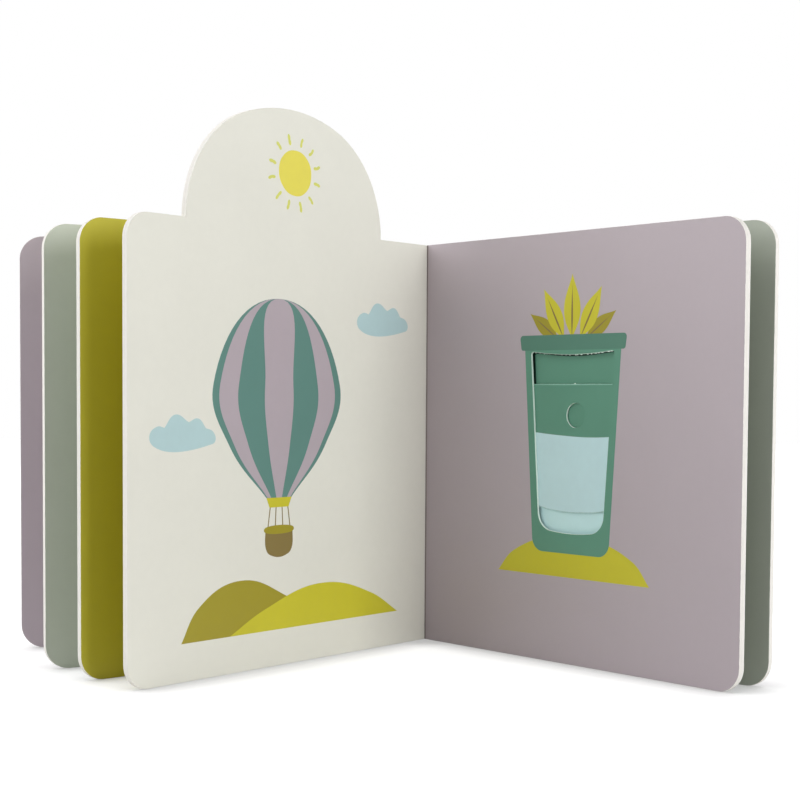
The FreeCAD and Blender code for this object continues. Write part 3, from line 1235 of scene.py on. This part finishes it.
def print_slot(sizes, panel, card):
    """Pale foot of the slot behind the card, painted lighter to offset its shade, and a painted shadow
    round its head and its root side.
    """
    backing = Board("slide_backing")
    printer = Printer(Page(panel, depth=panel.depth(backing.root)), "pages", "slot", "inner_board")
    left, right, foot, head = window_box(panel)
    x = (left + right) / 2
    half = card.width / 2
    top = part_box(card.node)[0].z + 15.2 * MM
    pale = cup(x, half, top, 0, half, foot - 12 * MM, 2 * MM)
    # Painted light: the slot's foot takes the paler water ink to offset its shade.
    printer.lay("lower", "deep_water", 1, pale)
    # Painted shadow: a dark film on the backing just under the window's head and along its root-side wall,
    # where the panel shades it.
    shade_head = head - 0.55 * MM
    low_side, high_side = window_side(panel)
    slope = (high_side[0] - low_side[0]) / (high_side[1] - low_side[1])
    side = low_side[0] + (top - low_side[1]) * slope + 0.3 * MM
    side_head = left + 0.3 * MM
    shade = sharp(
        (side, top),
        (side_head, shade_head - 0.8 * MM),
        (side_head + 1 * MM, shade_head - 0.1 * MM),
    )
    shade += smooth((x, shade_head - sizes.head_sag))
    shade += sharp(
        (right - 1.2 * MM, shade_head),
        (right + 2 * MM, shade_head),
        (right + 2 * MM, head + 1.2 * MM),
        (left - 3 * MM, head + 1.2 * MM),
        (left - 3 * MM, top),
    )
    printer.lay("shade", "slot_shade", 1, shade)


class BOOK_OT_water(bpy.types.Operator):
    """Print the pale lower part of the slide card and of the slot behind it, with the card's painted
    highlight and the slot's painted shadow
    """

    bl_idname = "book.water"
    bl_label = "Pale Lower Parts"

    def execute(self, context):
        sizes = context.scene.book_pictures
        panel = Board("slide_window_panel")
        card = Board("slide_card")
        print_card(sizes, panel, card)
        print_slot(sizes, panel, card)
        return {"FINISHED"}


def shard(place, size, seed):
    """A torn scrap of board: a faceted chip with its points pushed about."""
    bpy.ops.object.select_all(action="DESELECT")
    bpy.ops.mesh.primitive_ico_sphere_add(subdivisions=1, radius=1, location=place)
    chip = bpy.context.object
    chip.scale = size
    settle(chip)
    edit(chip)
    bpy.ops.transform.vertex_random(offset=min(size) * 0.5, seed=seed)
    leave()
    return chip


def finished_scrap(scrap, page, finish, body):
    """Stand a torn scrap on a page."""
    scrap.data.transform(page.stand)
    close(scrap)
    scrap.data.materials.append(finish)
    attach(scrap, body)


class BOOK_OT_nicks(bpy.types.Operator):
    """Leave the torn scraps where the window and the card were pressed out"""

    bl_idname = "book.nicks"
    bl_label = "Torn Nicks"

    def execute(self, context):
        core = context.scene.book_boards.window_core
        panel = Board("slide_window_panel")
        card = Board("slide_card")
        left, right, _, head = window_box(panel)
        half = (right - left) / 2
        x = (left + right) / 2
        sag = context.scene.book_pictures.head_sag
        chance = random.Random(5)
        count = 20
        scraps = []
        for index in range(count):
            share = -0.9 + 1.84 * (index + chance.uniform(-0.35, 0.35)) / (count - 1)
            small = 0.6 if share < 0.05 else 1.15
            place = (x + share * half, head - sag * (1 - share * share) - 0.06 * MM, -0.12 * MM)
            wide = chance.uniform(0.3, 0.8) * small * MM
            high = chance.uniform(0.12, 0.24) * small * MM
            deep = chance.uniform(0.08, 0.14) * MM
            scraps.append(shard(place, (wide, high, deep), index))
        finish = cut_edge("torn_board", core, panel)
        finished_scrap(join(scraps, "window_nicks"), Page(panel), finish, "pages")
        place = (x + 1.1 * MM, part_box("slide_card")[1].z + 0.06 * MM, -0.1 * MM)
        scrap = named(shard(place, (0.66 * MM, 0.34 * MM, 0.14 * MM), 3), "card_nick")
        card_page = Page(panel, depth=panel.depth(card.root))
        finish = cut_edge("torn_card", core, panel)
        finished_scrap(scrap, card_page, finish, "slide_card")
        return {"FINISHED"}


# ---- stage ----


# Each soft lamp's name, its place, the side of its square and its watts.
LAMPS = (
    ("left_high", (-1.15, -0.4, 0.9), 1.2, 13.2),
    ("right_high", (1.15, -0.4, 0.9), 1.2, 1.6),
    ("right_front", (1.0, -1.1, 0.5), 0.7, 10.9),
    ("overhead", (0.0, -0.12, 0.5), 0.5, 0.4),
    ("left_side", (-1.25, 0.45, 0.7), 1.0, 3.0),
    ("right_side", (1.25, 0.45, 0.7), 1.0, 1.0),
    ("rear_left", (-0.8, 1.2, 0.8), 1.0, 6.0),
    ("rear_right", (0.8, 1.2, 0.8), 1.0, 6.0),
)
LAMP_AIM = Vector((0, -0.05, 0.09))


def floor_paper():
    """White paper floor that is seen as white, takes the lamps' shadow, and has a painted contact shadow
    close to what stands on it.
    """
    material = bpy.data.materials.new("floor_paper")
    recipe = Recipe(material)
    away = recipe.node("ShaderNodeVectorMath", {0: recipe.place()}, operation="LENGTH").outputs["Value"]
    level = recipe.spread(away, 0.76, 1.0, low=0.45, high=1.2)
    # Painted shadow: ambient occlusion dims the seen glow near whatever stands on the floor, a contact
    # shadow no lamp casts.
    nearby = recipe.node("ShaderNodeAmbientOcclusion", {"Distance": 20 * MM}, samples=8).outputs["AO"]
    painted_contact_shade = recipe.spread(nearby, 0.4, 1.0, low=0.5, high=1.0)
    dim = recipe.grey("ShaderNodeBsdfDiffuse", 0.5)
    glow = recipe.grey("ShaderNodeEmission", 1, Strength=recipe.maths("MULTIPLY", level, painted_contact_shade))
    seen = recipe.node("ShaderNodeAddShader", {0: dim, 1: glow}).outputs[0]
    lit = recipe.grey("ShaderNodeBsdfDiffuse", 0.93)
    recipe.node("ShaderNodeOutputMaterial", {"Surface": recipe.seen_or_lit(lit, seen)})
    return material


def pale_room(light):
    """Even pale light from all round, seen as white."""
    world = bpy.data.worlds.new("pale_room")
    bpy.context.scene.world = world
    recipe = Recipe(world)
    lit = recipe.grey("ShaderNodeBackground", 1, Strength=light)
    seen = recipe.grey("ShaderNodeBackground", 1, Strength=1.0)
    recipe.node("ShaderNodeOutputWorld", {"Surface": recipe.seen_or_lit(lit, seen)})


class BOOK_OT_stage(bpy.types.Operator):
    """Set the floor, the lights and the camera"""

    bl_idname = "book.stage"
    bl_label = "Stage"

    def execute(self, context):
        stage = context.scene.book_stage
        floor_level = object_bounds()[0].z - 0.1 * MM
        bpy.ops.object.select_all(action="DESELECT")
        bpy.ops.mesh.primitive_plane_add(size=stage.floor_size, location=(0, 0, floor_level))
        floor = named(bpy.context.object, "floor")
        settle(floor)
        floor.data.materials.append(floor_paper())
        floor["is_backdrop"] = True
        pale_room(stage.room_light)
        for name, place, size, watts in LAMPS:
            bpy.ops.object.light_add(type="AREA", location=place)
            lamp = named(bpy.context.object, name + "_lamp")
            aim = LAMP_AIM - Vector(place)
            lamp.rotation_euler = aim.to_track_quat("-Z", "Y").to_euler()
            lamp.data.shape = "SQUARE"
            lamp.data.size = size
            lamp.data.energy = watts
        bpy.ops.object.camera_add(location=(stage.eye_side, -stage.eye_back, stage.eye_height))
        camera = named(bpy.context.object, "eye")
        tilt = Matrix.Rotation(math.pi / 2 - stage.tilt, 3, "X")
        roll = Matrix.Rotation(stage.roll, 3, "Z")
        camera.rotation_euler = (tilt @ roll).to_euler()
        camera.data.lens = stage.lens
        camera.data.sensor_width = 36
        camera.data.shift_y = stage.rise
        camera.data.clip_start = 10 * MM
        context.scene.camera = camera
        context.scene.view_settings.view_transform = "Standard"
        return {"FINISHED"}


OPERATORS = (
    BOOK_OT_covers,
    BOOK_OT_leaves,
    BOOK_OT_slide_leaf,
    BOOK_OT_slide_card,
    BOOK_OT_spine,
    BOOK_OT_cover_folds,
    BOOK_OT_creases,
    BOOK_OT_sun,
    BOOK_OT_balloon,
    BOOK_OT_pot,
    BOOK_OT_water,
    BOOK_OT_nicks,
    BOOK_OT_stage,
)

GROUPS = (
    ("book_boards", BOOK_PG_boards),
    ("book_inks", BOOK_PG_inks),
    ("book_pictures", BOOK_PG_pictures),
    ("book_stage", BOOK_PG_stage),
)


class BOOK_PT_workshop(bpy.types.Panel):
    """Steps that make the book, in order"""

    bl_label = "Activity Book"
    bl_idname = "BOOK_PT_workshop"
    bl_space_type = "VIEW_3D"
    bl_region_type = "UI"
    bl_category = "Activity Book"

    def draw(self, context):
        for operator in OPERATORS:
            self.layout.operator(operator.bl_idname)


def register():
    for name, group in GROUPS:
        bpy.utils.register_class(group)
        setattr(bpy.types.Scene, name, PointerProperty(type=group))
    for operator in OPERATORS:
        bpy.utils.register_class(operator)
    bpy.utils.register_class(BOOK_PT_workshop)


def unregister():
    bpy.utils.unregister_class(BOOK_PT_workshop)
    for operator in reversed(OPERATORS):
        bpy.utils.unregister_class(operator)
    for name, group in reversed(GROUPS):
        delattr(bpy.types.Scene, name)
        bpy.utils.unregister_class(group)


def main():
    register()
    bpy.ops.book.covers()
    bpy.ops.book.leaves()
    bpy.ops.book.slide_leaf()
    bpy.ops.book.slide_card()
    bpy.ops.book.spine()
    bpy.ops.book.cover_folds()
    bpy.ops.book.creases()
    bpy.ops.book.sun()
    bpy.ops.book.balloon()
    bpy.ops.book.pot()
    bpy.ops.book.water()
    bpy.ops.book.nicks()
    bpy.ops.book.stage()


if __name__ == "__main__":
    main()
